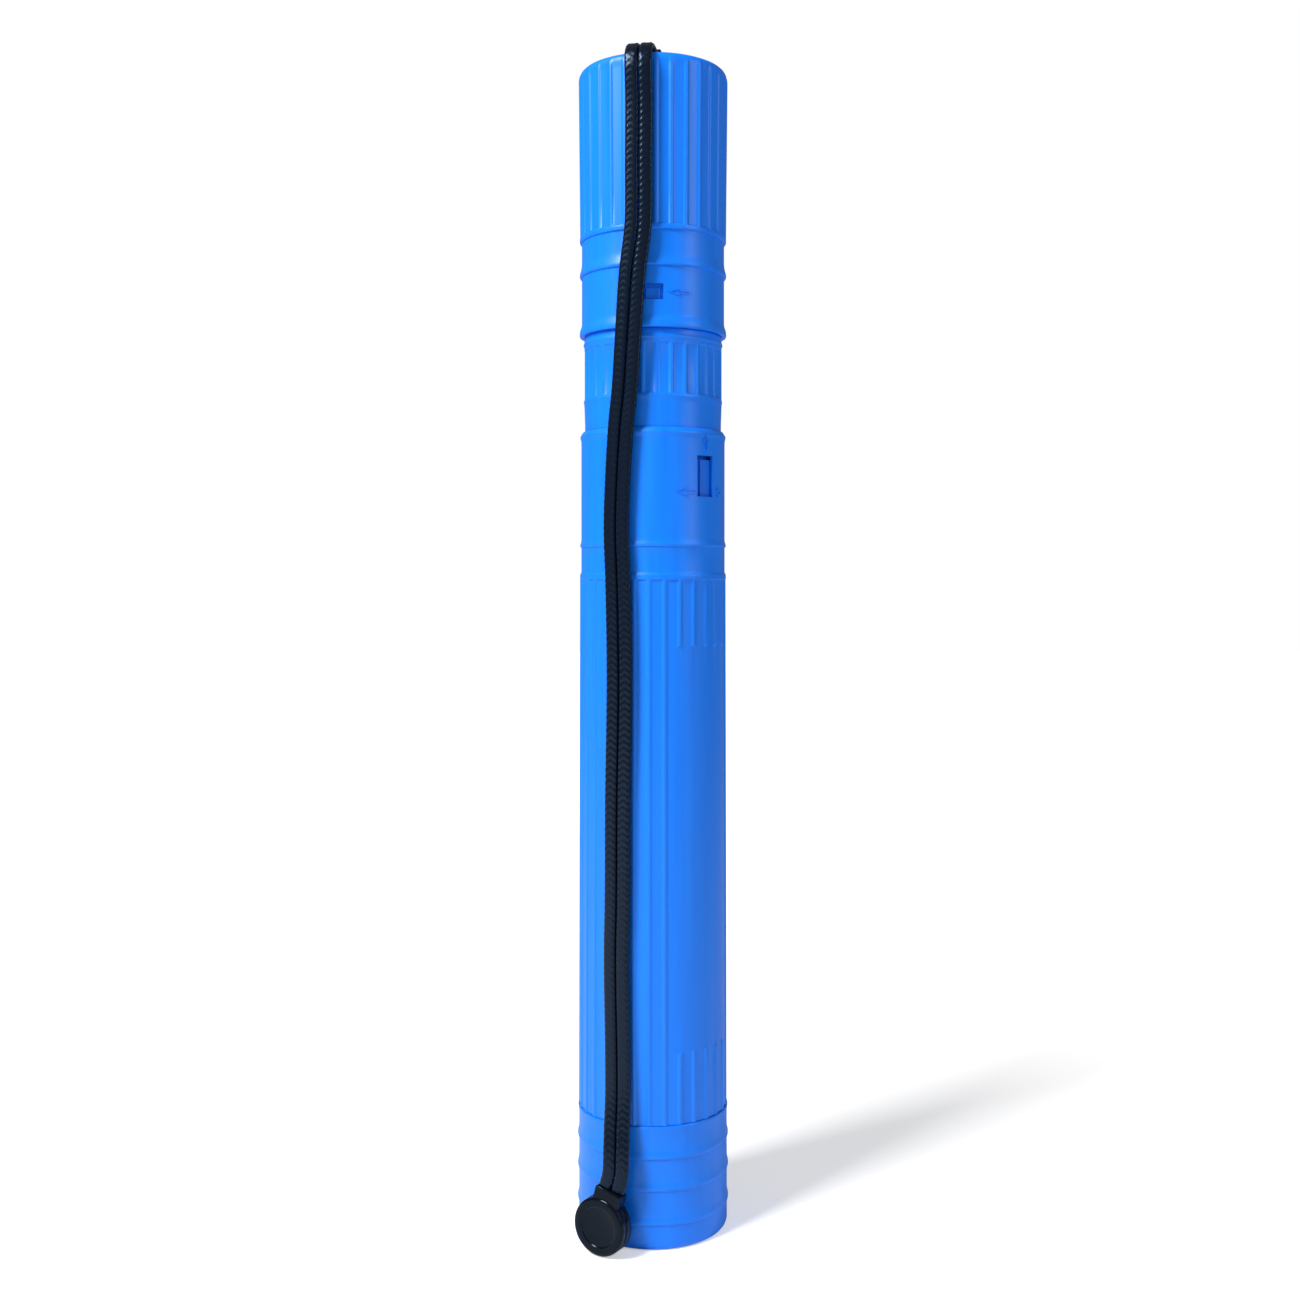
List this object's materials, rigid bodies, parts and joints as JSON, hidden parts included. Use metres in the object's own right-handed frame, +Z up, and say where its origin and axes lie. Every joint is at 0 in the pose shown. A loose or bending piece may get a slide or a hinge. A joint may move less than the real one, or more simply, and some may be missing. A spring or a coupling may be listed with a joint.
{
  "type": "telescopic poster tube",
  "caption": "Ribbed telescopic tube for rolled posters with twist lock collar, ribbed neck, twist-off lid, base cap and a doubled braided strap ending in a round button",
  "frame": {"origin": "centre of the base's underside, on the tube's axis", "axes": "+Z up along the tube, -Y to the viewer's front, +X to the viewer's right"},
  "size_m": [0.0814, 0.095, 0.6302],
  "materials": {
    "blue_shell": "semi-gloss moulded polypropylene, azure blue",
    "blue_inner": "plain moulded polypropylene, azure blue",
    "black_gloss": "glossy black moulded plastic",
    "black_braid": "tight round braid, black"
  },
  "bodies": {
    "outer": {"outer_tube": "blue_shell", "base_cap": "blue_shell"},
    "lock": {"lock_ring": "blue_inner"},
    "inner": {"inner_tube": "blue_inner", "neck_collar": "blue_shell"},
    "strap": {"top_button_base": "black_gloss", "top_button_cover": "black_gloss", "button_clip": "black_gloss", "strap_cord_left": "black_braid", "strap_cord_right": "black_braid", "end_button_base": "black_gloss", "end_button_cover": "black_gloss"},
    "lid": {"lid": "blue_shell"}
  },
  "joints": [
    {"name": "lock_twist", "type": "hinge", "parent": "outer", "child": "lock", "pos_m": [0, 0, 0.4], "axis": [0, 0, 1], "range_deg": [0, 30]},
    {"name": "extend", "type": "slide", "parent": "lock", "child": "inner", "axis": [0, 0, 1], "range_m": [0, 0.366]},
    {"name": "lid_pull", "type": "slide", "parent": "inner", "child": "strap", "axis": [0, 0, 1], "range_m": [0, 0.09]},
    {"name": "lid_twist", "type": "hinge", "parent": "strap", "child": "lid", "pos_m": [0, 0, 0.55], "axis": [0, 0, 1], "range_deg": [0, 30]}
  ]
}
